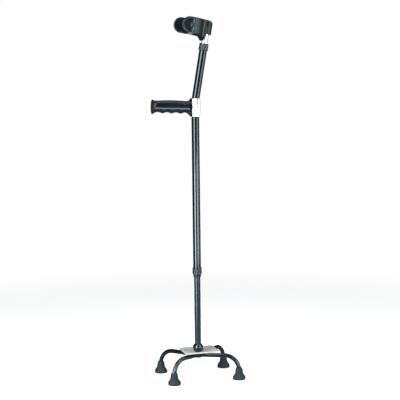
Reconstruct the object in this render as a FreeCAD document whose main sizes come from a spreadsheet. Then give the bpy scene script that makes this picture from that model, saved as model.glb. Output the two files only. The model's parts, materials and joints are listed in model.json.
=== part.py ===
import FreeCAD, Part
import math
import os
import re
import Sketcher

# Forearm crutch on a small four-footed base.
# Frame: millimetres, origin on the shaft's axis at floor level, +Z up, -X forward (the way the
# hand grip points), +Y to the user's right.  Pieces on the leaning arm are drawn upright in a
# frame whose origin is the outer tube's upper end, and are then leaned back by bend_angle.

SIZES = {
    # four-footed base
    "foot_span_x": 194.0,
    "foot_span_y": 150.0,
    "base_offset": 10.9,
    "base_aside": 24.0,
    "leg_outer": 12.7,
    "leg_wall": 1.5,
    "leg_axis_height": 69.2,
    "leg_bend_radius": 42.0,
    "leg_end_height": 10.5,
    "boss_margin": 0.7,
    "boss_recess": 7.0,
    "plate_length": 102.0,
    "plate_width": 80.0,
    "plate_thick": 3.0,
    "plate_corner": 4.5,
    "plate_bevel": 0.5,
    "weld_diameter": 4.2,
    "weld_length": 8.0,
    "weld_aside": 5.08,
    "weld_sink": 1.89,
    # rubber tips
    "tip_base": 36.4,
    "tip_rim_height": 8.5,
    "tip_groove_height": 5.4,
    "tip_groove": 0.8,
    "tip_cone_height": 17.0,
    "tip_neck_lower": 23.8,
    "tip_neck_upper": 20.8,
    "tip_neck_height": 29.5,
    "tip_height": 34.0,
    "tip_lip": 2.2,
    "tip_tread": 1.2,
    "tip_washer_thick": 1.5,
    # hub, foot bolt and plug
    "hub_wall": 6.0,
    "hub_centre": 12.2,
    "hub_height": 23.2,
    "hub_floor": 5.5,
    "bolt_diameter": 8.0,
    "bolt_gap": 0.2,
    "bolt_flats": 13.0,
    "bolt_head": 5.3,
    "bolt_length": 38.0,
    "washer_outer": 20.0,
    "washer_thick": 1.6,
    "plug_length": 28.0,
    # inner tubes: the leg tube and the cuff tube slide in the outer tube
    "slide_gap": 0.5,
    "inner_wall": 1.5,
    "leg_tube_length": 371.9,
    # bent outer tube
    "tube_outer": 22.2,
    "tube_wall": 1.6,
    "tube_bottom": 311.2,
    "bend_height": 800.7,
    "bend_angle": 9.87,
    "bend_radius": 60.0,
    "upper_length": 155.0,
    # snap buttons and their hole rows
    "leg_button_drop": 28.35,
    "leg_pitch": 25.4,
    "cuff_button_rise": 30.4,
    "cuff_pitch": 12.7,
    "button_diameter": 6.2,
    "button_dome": 3.0,
    "button_base": 9.0,
    "button_flange": 1.2,
    "button_gap": 0.25,
    "clip_thick": 0.6,
    "clip_width": 7.0,
    "clip_length": 34.0,
    # lock nuts, bushings and collets
    "fit_gap": 0.06,
    "thread_gap": 0.15,
    "bushing_wall": 0.9,
    "bushing_flange": 2.0,
    "nut_wall": 1.1,
    "nose_gap": 0.3,
    "nose_taper": 0.1,
    "collet_wall": 1.3,
    "collet_taper": 0.5,
    "collet_slit": 1.6,
    "nut_lip": 2.0,
    "nut_bevel": 0.8,
    "lower_skirt": 13.6,
    "lower_shoulder": 4.5,
    "lower_nose": 13.8,
    "upper_skirt": 8.2,
    "upper_nose": 10.9,
    # grip bracket and hand grip
    "bracket_wall": 3.6,
    "bracket_lead": 0.9,
    "bracket_drop": 41.1,
    "bracket_height": 50.8,
    "grip_drop": 15.8,
    "grip_tilt": 2.3,
    "grip_length": 114.0,
    "grip_width": 31.0,
    "grip_top": 17.2,
    "grip_swell": 2.1,
    "grip_underside": 17.7,
    "finger_depth": 3.2,
    "finger_first": 17.7,
    "finger_last": 17.1,
    "flange_height": 50.6,
    "flange_width": 33.0,
    "flange_lip": 2.6,
    "flange_root": 9.0,
    "grip_end_height": 41.4,
    "grip_end_width": 37.0,
    "grip_end_lip": 2.0,
    "grip_end_throat": 7.5,
    "grip_core": 19.0,
    "grip_core_wall": 1.5,
    "grip_core_lead": 1.0,
    "grip_bolt": 6.0,
    "grip_bolt_head": 11.0,
    "grip_bolt_recess": 0.6,
    "grip_bolt_short": 2.0,
    "grip_insert": 20.0,
    "grip_cap": 24.0,
    "grip_cap_depth": 6.0,
    "grip_cap_flange": 2.4,
    "grip_cap_proud": 1.0,
    "grip_cap_bevel": 0.8,
    "grip_lead": 3.0,
    # forearm cuff: heights are above the outer tube's upper end, or from the band's edges
    "cuff_tube_inside": 130.0,
    "cuff_tube_above_pivot": 4.4,
    "cuff_plug": 26.0,
    "cuff_plug_cap": 1.2,
    "pivot_below_band": 12.5,
    "pivot_pin": 5.0,
    "pivot_head": 8.5,
    "pivot_head_thick": 1.4,
    "pivot_head_bevel": 0.6,
    "pivot_seat_gap": 1.0,
    "cuff_backing": 2.55,
    "cuff_radius": 45.0,
    "cuff_thick": 3.0,
    "cuff_arm": 26.8,
    "cuff_bottom": 31.5,
    "cuff_height": 45.0,
    "cuff_rim": 1.8,
    "yoke_wall": 2.8,
    "wing_back": 10.5,
    "finger_reach": 3.0,
    "yoke_finger_height": 13.0,
    "housing_wall": 1.75,
    "housing_lift": 5.5,
    "housing_round": 14.0,
    "housing_roof": 4.8,
    "tilt_room_rear": 4.4,
    "tilt_room_front": 1.3,
    "tilt_room_rise": 2.0,
    "tongue_drop": 14.3,
    "tongue_thick": 3.2,
    "tongue_half": 7.0,
    "rivet_shank": 4.0,
    "rivet_head": 6.0,
    "rivet_height": 1.2,
    "rivet_front": 2.0,
    "rivet_rear": 17.0,
}
POSITIONS = 7  # holes in each row
FINGERS = 4  # grooves under the grip

vector = FreeCAD.Vector
doc = FreeCAD.newDocument("forearm_quad_crutch")
sheet = doc.addObject("Spreadsheet::Sheet", "Sizes")
for row, (alias, number) in enumerate(SIZES.items(), start=1):
    sheet.set(f"A{row}", alias)
    sheet.set(f"B{row}", str(number))
    sheet.setAlias(f"B{row}", alias)
doc.recompute()


def tied(text):
    """An expression in which each size's name points at its cell in the sheet."""
    return re.sub(r"[a-z_]+", lambda m: "Sizes." + m[0] if m[0] in SIZES else m[0], text)


def value(text):
    """What an expression comes to now, as a plain number."""
    result = sheet.evalExpression(tied(text))
    return float(getattr(result, "Value", result))


def bind(item, **expressions):
    """Tie properties of an object to the sheet."""
    for name, text in expressions.items():
        item.setExpression(name, tied(text))


def place(item, base=("0", "0", "0"), axis=(0, 0, 1), angle="0"):
    """Tie an object's position, and its turn about one axis, to the sheet."""
    spot = vector(*(value(text) for text in base))
    turn = FreeCAD.Rotation(vector(*axis), value(angle))
    item.Placement = FreeCAD.Placement(spot, turn)
    for letter, text in zip("xyz", base):
        item.setExpression(f"Placement.Base.{letter}", tied(text))
    if angle != "0":
        item.setExpression("Placement.Rotation.Angle", tied(angle))
    return item


def beside(name, item):
    """Set a piece drawn about the shaft's axis in its place beside the base's middle."""
    item.Label = name + "_on_shaft_axis"
    moved = doc.addObject("Part::Compound", name + "_in_place")
    moved.Links = [item]
    return place(moved, ("0", "-base_aside", "0"))


def lean(item):
    """Carry a piece drawn upright on the outer tube's upper end to its leaning place."""
    spot = (
        "upper_length * sin(bend_angle * 1 deg)",
        "0",
        "bend_height + upper_length * cos(bend_angle * 1 deg)",
    )
    return place(item, spot, (0, 1, 0), "bend_angle")


# ---------------------------------------------------------------- sketches and simple solids


def new_body(name):
    body = doc.addObject("PartDesign::Body", name)
    body.Label = name
    return body


def origin_part(body, role):
    return next(item for item in body.Origin.OriginFeatures if item.Role == role)


def new_sketch(body, name, plane, offset="0"):
    sketch = body.newObject("Sketcher::SketchObject", name)
    sketch.AttachmentSupport = [(origin_part(body, plane), "")]
    sketch.MapMode = "FlatFace"
    if offset != "0":
        sketch.setExpression("AttachmentOffset.Base.z", tied(offset))
    return sketch


def fix(sketch, kind, geometry, point, text):
    """Hold one coordinate of a point at an expression."""
    rule = Sketcher.Constraint(kind, -1, 1, geometry, point, value(text))
    sketch.setExpression(f"Constraints[{sketch.addConstraint(rule)}]", tied(text))


def fix_point(sketch, geometry, point, spot):
    fix(sketch, "DistanceX", geometry, point, spot[0])
    fix(sketch, "DistanceY", geometry, point, spot[1])


def outline(body, name, plane, corners, offset="0"):
    """A closed outline with straight sides and a tied place for each corner."""
    sketch = new_sketch(body, name, plane, offset)
    spots = [vector(value(a), value(b), 0) for a, b in corners]
    count = len(spots)
    for i in range(count):
        sketch.addGeometry(Part.LineSegment(spots[i], spots[(i + 1) % count]))
    for i in range(count):
        sketch.addConstraint(Sketcher.Constraint("Coincident", i, 2, (i + 1) % count, 1))
    for i, corner in enumerate(corners):
        fix_point(sketch, i, 1, corner)
    return sketch


def circles(sketch, centre, diameters):
    """Circles on one centre, each with a tied diameter."""
    for text in diameters:
        spot = vector(value(centre[0]), value(centre[1]), 0)
        circle = Part.Circle(spot, vector(0, 0, 1), value(text) / 2)
        index = sketch.addGeometry(circle)
        fix_point(sketch, index, 3, centre)
        rule = Sketcher.Constraint("Diameter", index, value(text))
        sketch.setExpression(f"Constraints[{sketch.addConstraint(rule)}]", tied(text))
    return sketch


def bent_path(body, name, plane, start, turn_start, centre, turn_end, finish, held, offset="0"):
    """A run, an arc and a run; held is the coordinate of turn_end that is tied."""
    sketch = new_sketch(body, name, plane, offset)
    spots = [vector(value(a), value(b), 0) for a, b in (start, turn_start, turn_end, finish)]
    middle = vector(value(centre[0]), value(centre[1]), 0)
    radius = (spots[1] - middle).Length
    chord = (spots[1] + spots[2]) / 2 - middle
    if chord.Length < 1e-6:
        chord = spots[1] - spots[0]
    crown = middle + chord.normalize() * radius
    sketch.addGeometry(Part.LineSegment(spots[0], spots[1]))
    sketch.addGeometry(Part.Arc(spots[1], crown, spots[2]))
    sketch.addGeometry(Part.LineSegment(spots[2], spots[3]))
    flipped = (sketch.getPoint(1, 1) - spots[1]).Length > 1e-6
    first, last = (2, 1) if flipped else (1, 2)
    sketch.addConstraint(Sketcher.Constraint("Coincident", 0, 2, 1, first))
    sketch.addConstraint(Sketcher.Constraint("Coincident", 1, last, 2, 1))
    fix_point(sketch, 0, 1, start)
    fix_point(sketch, 0, 2, turn_start)
    fix_point(sketch, 1, 3, centre)
    fix(sketch, held, 2, 1, turn_end["DistanceX DistanceY".split().index(held)])
    fix_point(sketch, 2, 2, finish)
    return sketch


def turned(name, corners, axis="V_Axis"):
    """A solid of revolution; its outline is drawn beside the vertical or the level axis."""
    body = new_body(name)
    sketch = outline(body, name + "_profile", "XZ_Plane", corners)
    turn = body.newObject("PartDesign::Revolution", name + "_turn")
    turn.Profile = sketch
    turn.ReferenceAxis = (sketch, [axis])
    turn.Angle = 360
    return body


def swept(body, section, path):
    pipe = body.newObject("PartDesign::AdditivePipe", body.Name + "_pipe")
    pipe.Profile = section
    pipe.Spine = path
    return pipe


def padded(body, sketch, length):
    pad = body.newObject("PartDesign::Pad", sketch.Name + "_pad")
    pad.Profile = sketch
    bind(pad, Length=length)
    return pad


def bored(body, name, diameter, length, base, axis=(0, 0, 1), angle="0"):
    """A round hole cut from base along the axis that the turn gives."""
    hole = body.newObject("PartDesign::SubtractiveCylinder", name)
    bind(hole, Radius=f"({diameter}) / 2", Height=length)
    place(hole, base, axis, angle)
    return hole


def edges_where(shape, test):
    return [f"Edge{i}" for i, edge in enumerate(shape.Edges, start=1) if test(edge)]


def ring_edges(shape, radius, height):
    """Names of the whole circles of that radius at that height about the vertical axis."""

    def matches(edge):
        curve = edge.Curve
        if not isinstance(curve, Part.Circle) or not edge.isClosed():
            return False
        return abs(curve.Radius - radius) < 1e-3 and abs(curve.Center.z - height) < 1e-3

    return edges_where(shape, matches)


def dress(body, kind, names, size):
    """Round or bevel edges of the body's last feature: kind is Fillet or Chamfer."""
    feature = body.newObject("PartDesign::" + kind, f"{body.Name}_{kind.lower()}{len(body.Group)}")
    feature.Base = (body.Group[-2], names)
    bind(feature, **{"Radius" if kind == "Fillet" else "Size": size})
    body.Tip = feature
    doc.recompute()
    return feature


def box(name, low, high):
    item = doc.addObject("Part::Box", name)
    sides = [f"({b}) - ({a})" for a, b in zip(low, high)]
    bind(item, Length=sides[0], Width=sides[1], Height=sides[2])
    return place(item, low)


def cylinder(name, radius, height, base=("0", "0", "0"), axis=(0, 0, 1), angle="0"):
    item = doc.addObject("Part::Cylinder", name)
    bind(item, Radius=radius, Height=height)
    return place(item, base, axis, angle)


def joined(name, *items):
    item = doc.addObject("Part::MultiFuse", name)
    item.Shapes = list(items)
    item.Label = name
    return item


def cut(name, base, tool):
    item = doc.addObject("Part::Cut", name)
    item.Base = base
    item.Tool = tool
    item.Label = name
    return item


def common(name, base, tool):
    item = doc.addObject("Part::MultiCommon", name)
    item.Shapes = [base, tool]
    item.Label = name
    return item


def group(name, items):
    item = doc.addObject("Part::Compound", name)
    item.Links = list(items)
    item.Label = name
    return item


# ---------------------------------------------------------------- four-footed base

CORNERS = {
    "front_left": (-1, -1),
    "front_right": (-1, 1),
    "rear_left": (1, -1),
    "rear_right": (1, 1),
}


def foot_x(side_x):
    return f"(base_offset + {side_x} * foot_span_x / 2)"


def foot_y(side_y):
    return f"(base_aside + {side_y} * foot_span_y / 2)"


def leg_turn(side_x, side_y):
    """A leg's direction, as a positive angle from the x axis towards its own side."""
    return f"atan2({side_y} * {foot_y(side_y)}; {foot_x(side_x)})"


# Half the angle between each two neighbouring legs.
HALF_GAPS = "; ".join((
    f"({leg_turn(1, 1)} + {leg_turn(1, -1)}) / 2",
    f"180 deg - ({leg_turn(-1, 1)} + {leg_turn(-1, -1)}) / 2",
    f"({leg_turn(-1, 1)} - {leg_turn(1, 1)}) / 2",
    f"({leg_turn(-1, -1)} - {leg_turn(1, -1)}) / 2",
))
BOSS_RADIUS = f"(leg_outer / 2 / sin(min({HALF_GAPS})) + boss_margin)"
LEG_TOP = "(leg_axis_height + leg_outer / 2)"
PLATE_TOP = "(leg_axis_height + leg_outer / 2 + plate_thick)"
SOCKET = "(leg_axis_height + leg_outer / 2 + plate_thick + hub_floor)"
RECESS_TOP = "(leg_axis_height - leg_outer / 2 + boss_recess)"
BOLT_SEAT = f"({RECESS_TOP} - washer_thick)"
INNER = "(tube_outer - 2 * tube_wall - 2 * slide_gap)"
HUB_RADIUS = f"({INNER} / 2 + hub_wall)"

# How much of the leg's bend is inside the tip, and how far the leg leans there: the tip's
# mouth opens by as much.
LEG_RISE = "max(0; tip_height - (leg_axis_height - leg_bend_radius))"
LEG_DRIFT = f"(leg_bend_radius - sqrt(leg_bend_radius ^ 2 - {LEG_RISE} ^ 2))"


def make_leg(corner, side_x, side_y):
    """One bent leg: level under the plate, round the bend and down into its tip."""
    body = new_body(f"leg_{corner}")
    reach = f"sqrt({foot_x(side_x)} ^ 2 + {foot_y(side_y)} ^ 2)"
    section = new_sketch(body, body.Name + "_section", "YZ_Plane")
    circles(section, ("0", "leg_axis_height"), ("leg_outer", "leg_outer - 2 * leg_wall"))
    path = bent_path(
        body, body.Name + "_path", "XZ_Plane",
        start=("0", "leg_axis_height"),
        turn_start=(f"{reach} - leg_bend_radius", "leg_axis_height"),
        centre=(f"{reach} - leg_bend_radius", "leg_axis_height - leg_bend_radius"),
        turn_end=(reach, "leg_axis_height - leg_bend_radius"),
        finish=(reach, "leg_end_height"),
        held="DistanceY",
    )
    swept(body, section, path)
    bored(body, body.Name + "_cope", f"2 * {BOSS_RADIUS}", "2 * leg_outer",
          ("0", "0", "leg_axis_height - leg_outer"))
    return place(body, ("0", "0", "0"), (0, 0, side_y), leg_turn(side_x, side_y))


def make_tip(corner, side_x, side_y):
    """A flared rubber tip with a blind socket for the leg and a ringed tread."""
    body = turned(f"tip_{corner}", [
        ("0", "tip_tread"),
        ("tip_base / 6", "tip_tread"),
        ("tip_base / 6", "0"),
        ("tip_base / 4", "0"),
        ("tip_base / 4", "tip_tread"),
        ("tip_base / 3", "tip_tread"),
        ("tip_base / 3", "0"),
        ("tip_base / 2 - tip_groove", "0"),
        ("tip_base / 2", "tip_groove"),
        ("tip_base / 2", "tip_groove_height"),
        ("tip_base / 2 - tip_groove / 2", "tip_groove_height + tip_groove / 3"),
        ("tip_base / 2", "tip_groove_height + tip_groove"),
        ("tip_base / 2", "tip_rim_height"),
        ("tip_neck_lower / 2", "tip_cone_height"),
        ("tip_neck_upper / 2", "tip_neck_height"),
        ("leg_outer / 2 + tip_lip", "tip_height"),
        (f"leg_outer / 2 + fit_gap + {LEG_DRIFT}", "tip_height"),
        ("leg_outer / 2 + fit_gap", f"tip_height - {LEG_RISE} - fit_gap"),
        ("leg_outer / 2 + fit_gap", "leg_end_height - tip_washer_thick"),
        ("0", "leg_end_height - tip_washer_thick"),
    ])
    doc.recompute()
    shape = body.Shape
    soft = ring_edges(shape, value("tip_base / 2"), value("tip_rim_height"))
    soft += ring_edges(shape, value("tip_neck_lower / 2"), value("tip_cone_height"))
    soft += ring_edges(shape, value("tip_neck_upper / 2"), value("tip_neck_height"))
    dress(body, "Fillet", soft, "tip_lip")
    return place(body, (foot_x(side_x), foot_y(side_y), "0"))


def make_tip_washer(corner, side_x, side_y):
    """The steel disc that keeps a leg's cut end from punching through its tip."""
    disc = cylinder(f"tip_washer_{corner}", "leg_outer / 2", "tip_washer_thick")
    return place(disc, (foot_x(side_x), foot_y(side_y), "leg_end_height - tip_washer_thick"))


def make_weld(corner, side_x, side_y):
    """Two beads between a leg and the plate, one on each side of the leg."""
    body = new_body(f"weld_{corner}")
    body.AllowCompound = True
    for side in (-1, 1):
        name = f"{body.Name}_{'left' if side < 0 else 'right'}"
        sketch = new_sketch(body, name, "YZ_Plane", f"{BOSS_RADIUS} + weld_diameter / 2")
        centre = (f"{side} * weld_aside", f"{LEG_TOP} - weld_sink")
        circles(sketch, centre, ("weld_diameter",))
        padded(body, sketch, "weld_length")
    return place(body, ("0", "0", "0"), (0, 0, side_y), leg_turn(side_x, side_y))


def make_boss():
    """The steel core that all four legs are welded to, recessed below for the foot bolt."""
    body = turned("leg_boss", [
        ("bolt_diameter / 2 + bolt_gap", RECESS_TOP),
        ("washer_outer / 2 + bolt_gap", RECESS_TOP),
        ("washer_outer / 2 + bolt_gap", "leg_axis_height - leg_outer / 2"),
        (BOSS_RADIUS, "leg_axis_height - leg_outer / 2"),
        (BOSS_RADIUS, LEG_TOP),
        ("bolt_diameter / 2 + bolt_gap", LEG_TOP),
    ])
    return body


def make_plate():
    """The flat deck over the legs, with round corners and a hole for the foot bolt."""
    body = new_body("base_plate")
    half_x, half_y = "plate_length / 2", "plate_width / 2"
    sketch = outline(body, "plate_outline", "XY_Plane", [
        (f"-({half_x})", f"-({half_y})"),
        (half_x, f"-({half_y})"),
        (half_x, half_y),
        (f"-({half_x})", half_y),
    ])
    circles(sketch, ("-base_offset", "-base_aside"), ("bolt_diameter + 2 * bolt_gap",))
    padded(body, sketch, "plate_thick")
    doc.recompute()

    def upright(edge):
        a, b = edge.Vertexes[0].Point, edge.Vertexes[-1].Point
        return abs(a.z - b.z) > 0.1 and abs(a.x) > value(half_x) - 0.1

    dress(body, "Fillet", edges_where(body.Shape, upright), "plate_corner")

    def outer_top(edge):
        bounds = edge.BoundBox
        far = max(abs(bounds.XMin), abs(bounds.XMax)) > value(half_x) - value("plate_corner") - 1
        return bounds.ZMin > value("plate_thick") - 0.01 and far

    dress(body, "Chamfer", edges_where(body.Shape, outer_top), "plate_bevel")
    return place(body, ("base_offset", "base_aside", LEG_TOP))


def make_hub():
    """The ball on the plate, cut flat below and socketed above for the leg tube."""
    ball = doc.addObject("Part::Sphere", "hub_sphere")
    bind(
        ball,
        Radius=HUB_RADIUS,
        Angle1=f"-asin(hub_centre / {HUB_RADIUS})",
        Angle2=f"asin((hub_height - hub_centre) / {HUB_RADIUS})",
    )
    place(ball, ("0", "0", f"{PLATE_TOP} + hub_centre"))
    socket = cylinder("hub_socket", f"{INNER} / 2", "2 * hub_height", ("0", "0", SOCKET))
    hole = cylinder("hub_bolt_hole", "bolt_diameter / 2 + bolt_gap", "2 * hub_height",
                    ("0", "0", f"{PLATE_TOP} - hub_floor"))
    return cut("hub_ball", ball, joined("hub_hollow", socket, hole))


def make_bolt():
    """The hexagon bolt that pulls the base, hub and leg tube together from below."""
    body = new_body("base_bolt")
    flat, point = "bolt_flats / 2", "bolt_flats / sqrt(3)"
    sketch = outline(body, "bolt_hexagon", "XY_Plane", [
        (point, "0"),
        (f"{point} / 2", flat),
        (f"-{point} / 2", flat),
        (f"-{point}", "0"),
        (f"-{point} / 2", f"-{flat}"),
        (f"{point} / 2", f"-{flat}"),
    ])
    padded(body, sketch, "bolt_head")
    shank = body.newObject("PartDesign::AdditiveCylinder", "bolt_shank")
    bind(shank, Radius="bolt_diameter / 2", Height="bolt_length")
    place(shank, ("0", "0", "bolt_head"))
    return place(body, ("0", "0", f"{BOLT_SEAT} - bolt_head"))


def make_washer():
    body = turned("base_washer", [
        ("bolt_diameter / 2 + bolt_gap", "0"),
        ("washer_outer / 2", "0"),
        ("washer_outer / 2", "washer_thick"),
        ("bolt_diameter / 2 + bolt_gap", "washer_thick"),
    ])
    return place(body, ("0", "0", BOLT_SEAT))


def make_leg_plug():
    """The threaded plug pressed into the foot of the leg tube."""
    body = turned("leg_tube_plug", [
        ("bolt_diameter / 2", "0"),
        (f"{INNER} / 2 - inner_wall", "0"),
        (f"{INNER} / 2 - inner_wall", "plug_length"),
        ("bolt_diameter / 2", "plug_length"),
    ])
    return place(body, ("0", "0", SOCKET))


# ---------------------------------------------------------------- tubes, buttons and clips

LEG_BUTTON = f"({SOCKET} + leg_tube_length - leg_button_drop)"
# The cuff tube's ends, its button and the cuff's pivot, above the outer tube's upper end.
PIVOT = "(cuff_bottom + cuff_height - pivot_below_band)"
POST_START = "(-cuff_tube_inside)"
POST_END = f"({PIVOT} + cuff_tube_above_pivot)"
CUFF_BUTTON = "(cuff_button_rise - cuff_tube_inside)"


def button_hole(body, name, height, diameter):
    """A hole through the rear wall only, for a snap button."""
    return bored(body, name, diameter, "tube_outer", ("0", "0", height), (0, 1, 0), "90 deg")


def make_leg_tube():
    """The straight inner tube that rises from the hub into the outer tube."""
    body = new_body("leg_tube")
    section = new_sketch(body, "leg_tube_section", "XY_Plane")
    circles(section, ("0", "0"), (INNER, f"{INNER} - 2 * inner_wall"))
    padded(body, section, "leg_tube_length")
    button_hole(body, "leg_tube_hole", f"{LEG_BUTTON} - {SOCKET}",
                "button_diameter + 2 * button_gap")
    return place(body, ("0", "0", SOCKET))


def tube_path(body):
    """The outer tube's centre line, from its lower end."""
    corner = "(bend_height - tube_bottom)"
    setback = "bend_radius * tan(bend_angle * 1 deg / 2)"
    lean_x, lean_z = "sin(bend_angle * 1 deg)", "cos(bend_angle * 1 deg)"
    return bent_path(
        body, body.Name + "_path", "XZ_Plane",
        start=("0", "0"),
        turn_start=("0", f"{corner} - {setback}"),
        centre=("bend_radius", f"{corner} - {setback}"),
        turn_end=(f"{setback} * {lean_x}", f"{corner} + {setback} * {lean_z}"),
        finish=(f"upper_length * {lean_x}", f"{corner} + upper_length * {lean_z}"),
        held="DistanceY",
    )


def make_outer_tube():
    """The bent outer tube with a row of holes in its rear wall above and below the grip."""
    body = new_body("outer_tube")
    section = new_sketch(body, "outer_tube_section", "XY_Plane")
    circles(section, ("0", "0"), ("tube_outer", "tube_outer - 2 * tube_wall"))
    swept(body, section, tube_path(body))
    hole = "button_diameter + 4 * button_gap"
    for i in range(POSITIONS):
        steps = i - POSITIONS // 2
        height = f"{LEG_BUTTON} - tube_bottom + {steps} * leg_pitch"
        button_hole(body, f"leg_hole_{i + 1}", height, hole)
    for i in range(POSITIONS):
        along = f"(upper_length + {CUFF_BUTTON} + {i} * cuff_pitch)"
        base = (
            f"{along} * sin(bend_angle * 1 deg)",
            "0",
            f"bend_height - tube_bottom + {along} * cos(bend_angle * 1 deg)",
        )
        bored(body, f"cuff_hole_{i + 1}", hole, "tube_outer", base, (0, 1, 0),
              "90 deg + bend_angle * 1 deg")
    place(body, ("0", "0", "tube_bottom"))
    bolt_way = grip_cylinder("bolt_way", "grip_bolt / 2 + bolt_gap", "tube_outer * 2",
                             f"tube_outer + {BRACKET_FRONT}")
    return cut("main_tube", body, bolt_way)


def make_solid_tube():
    """The outer tube's own outside as a solid, which shapes what is fitted round it."""
    body = new_body("tube_outside")
    section = new_sketch(body, "tube_outside_section", "XY_Plane")
    circles(section, ("0", "0"), ("tube_outer",))
    swept(body, section, tube_path(body))
    return place(body, ("0", "0", "tube_bottom"))


def make_cuff_tube():
    """The bright tube that slides in the outer tube's upper arm and carries the cuff."""
    body = new_body("cuff_tube")
    section = new_sketch(body, "cuff_tube_section", "XY_Plane")
    circles(section, ("0", "0"), (INNER, f"{INNER} - 2 * inner_wall"))
    padded(body, section, f"{POST_END} - {POST_START}")
    button_hole(body, "cuff_tube_hole", f"{CUFF_BUTTON} - {POST_START}",
                "button_diameter + 2 * button_gap")
    bored(body, "cuff_tube_pin_hole", "pivot_pin", f"2 * {INNER}",
          ("0", INNER, f"{PIVOT} - {POST_START}"), (1, 0, 0), "90 deg")
    place(body, ("0", "0", POST_START))
    return lean(group("cuff_post_tube", [body]))


BORE = f"({INNER} / 2 - inner_wall)"
CLIP_FACE = f"(sqrt({BORE} ^ 2 - (button_base / 2) ^ 2) - button_gap)"


def make_button(name):
    """A domed snap button on a thin base that stays behind the inner tube's wall."""
    stem = "button_diameter / 2"
    tip = "tube_outer / 2 + button_dome"
    body = turned(name, [
        (f"{CLIP_FACE} - button_flange", "0"),
        (tip, "0"),
        (f"{tip} - button_dome / 6", "button_diameter / 4"),
        (f"{tip} - button_dome / 1.8", f"{stem} * 0.9"),
        (f"{tip} - button_dome", stem),
        (CLIP_FACE, stem),
        (CLIP_FACE, "button_base / 2 - button_gap"),
        (f"{CLIP_FACE} - button_flange", "button_base / 2 - button_gap"),
    ], axis="H_Axis")
    return body


def make_clip(name):
    """A hairpin leaf spring: one arm behind the button, the other on the far wall."""
    body = new_body(name)
    near = f"({CLIP_FACE} - button_flange - clip_thick / 2)"
    far = f"(sqrt({BORE} ^ 2 - (clip_width / 2) ^ 2) - button_gap - clip_thick / 2)"
    centre = f"({near} - {far}) / 2"
    top = "button_base / 2"
    low = f"-clip_length + ({near} + {far}) / 2"
    section = outline(body, name + "_section", "XY_Plane", [
        (f"{near} - clip_thick / 2", "-clip_width / 2"),
        (f"{near} + clip_thick / 2", "-clip_width / 2"),
        (f"{near} + clip_thick / 2", "clip_width / 2"),
        (f"{near} - clip_thick / 2", "clip_width / 2"),
    ], offset=top)
    path = bent_path(
        body, name + "_path", "XZ_Plane",
        start=(near, top),
        turn_start=(near, low),
        centre=(centre, low),
        turn_end=(f"-{far}", low),
        finish=(f"-{far}", "0"),
        held="DistanceY",
    )
    swept(body, section, path)
    return body


def on_cuff_post(body, name):
    """A button or clip at the cuff tube's hole."""
    place(body, ("0", "0", CUFF_BUTTON))
    return lean(group(name, [body]))


# ---------------------------------------------------------------- lock nuts, bushings, collets
# Each set is drawn on the outer tube's cut end: +z leaves the tube, z = 0 is the end itself.

SLEEVE = "(tube_outer / 2 + bushing_wall)"
RUNNING = f"({INNER} / 2 + fit_gap)"
NUT_FLOOR = "(bushing_flange + thread_gap)"


def collet_radius(height, nose):
    """The collet's outer radius at a height between the nut's floor and its lip."""
    share = f"({height} - {NUT_FLOOR}) / ({nose} - nut_lip - {NUT_FLOOR})"
    return f"({RUNNING} + collet_wall - collet_taper * {share})"


def make_bushing(name, skirt):
    """The threaded plastic end of the outer tube, with the running fit for the inner tube."""
    return turned(name, [
        (RUNNING, "0"),
        ("tube_outer / 2", "0"),
        ("tube_outer / 2", f"-({skirt}) - thread_gap * 2"),
        (SLEEVE, f"-({skirt}) - thread_gap * 2"),
        (SLEEVE, "bushing_flange"),
        (RUNNING, "bushing_flange"),
    ])


def make_collet(name, nose):
    """The split cone that the nut squeezes on to the inner tube."""
    start = f"({NUT_FLOOR} + thread_gap)"
    finish = f"({nose} - nut_lip - thread_gap)"
    body = turned(name, [
        (RUNNING, start),
        (collet_radius(start, nose), start),
        (collet_radius(finish, nose), finish),
        (RUNNING, finish),
    ])
    slit = body.newObject("PartDesign::SubtractiveBox", name + "_slit")
    bind(slit, Length=INNER, Width="collet_slit", Height=nose)
    place(slit, ("0", "-collet_slit / 2", "0"))
    return body


def make_nut(name, skirt, nose, shoulder, nose_radius, nose_end):
    """The lock nut: a threaded ring over the bushing and a tapered nose over the collet."""
    inner = f"({SLEEVE} + thread_gap)"
    outer = f"({inner} + nut_wall)"
    body = turned(name, [
        (inner, f"-({skirt})"),
        (f"{outer} - nut_bevel", f"-({skirt})"),
        (outer, f"-({skirt}) + nut_bevel"),
        (outer, f"{shoulder} - nut_bevel / 2"),
        (f"{outer} - nut_bevel / 2", shoulder),
        (nose_radius, shoulder),
        (nose_end, f"{nose} - nut_bevel"),
        (f"{nose_end} - nut_bevel", nose),
        (f"{INNER} / 2 + 2 * thread_gap", nose),
        (f"{INNER} / 2 + 2 * thread_gap", f"{nose} - nut_lip"),
        (f"{collet_radius(f'({nose} - nut_lip)', nose)} + thread_gap", f"{nose} - nut_lip"),
        (f"{collet_radius(NUT_FLOOR, nose)} + thread_gap", NUT_FLOOR),
        (inner, NUT_FLOOR),
    ])
    return body


def at_lower_end(body):
    """Turn a piece over on to the outer tube's lower end."""
    return place(body, ("0", "0", "tube_bottom"), (1, 0, 0), "180 deg")


def at_upper_end(body, name):
    return lean(group(name, [body]))


# ---------------------------------------------------------------- hand grip
# The grip is drawn along -x from the bracket's front face and tips up by grip_tilt.

BRACKET_FRONT = "(tube_outer / 2 + bracket_lead)"
BRACKET_BOTTOM = "(bend_height - bracket_drop)"
GRIP_HEIGHT = "(bend_height - grip_drop)"


def on_grip(item):
    return place(item, (f"-{BRACKET_FRONT}", "0", GRIP_HEIGHT), (0, 1, 0), "grip_tilt")


def grip_cylinder(name, radius, length, start):
    """A cylinder on the grip's axis, from start along -x."""
    rod = cylinder(name + "_rod", radius, length, (start, "0", "0"), (0, -1, 0), "90 deg")
    return on_grip(group(name, [rod]))


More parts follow.
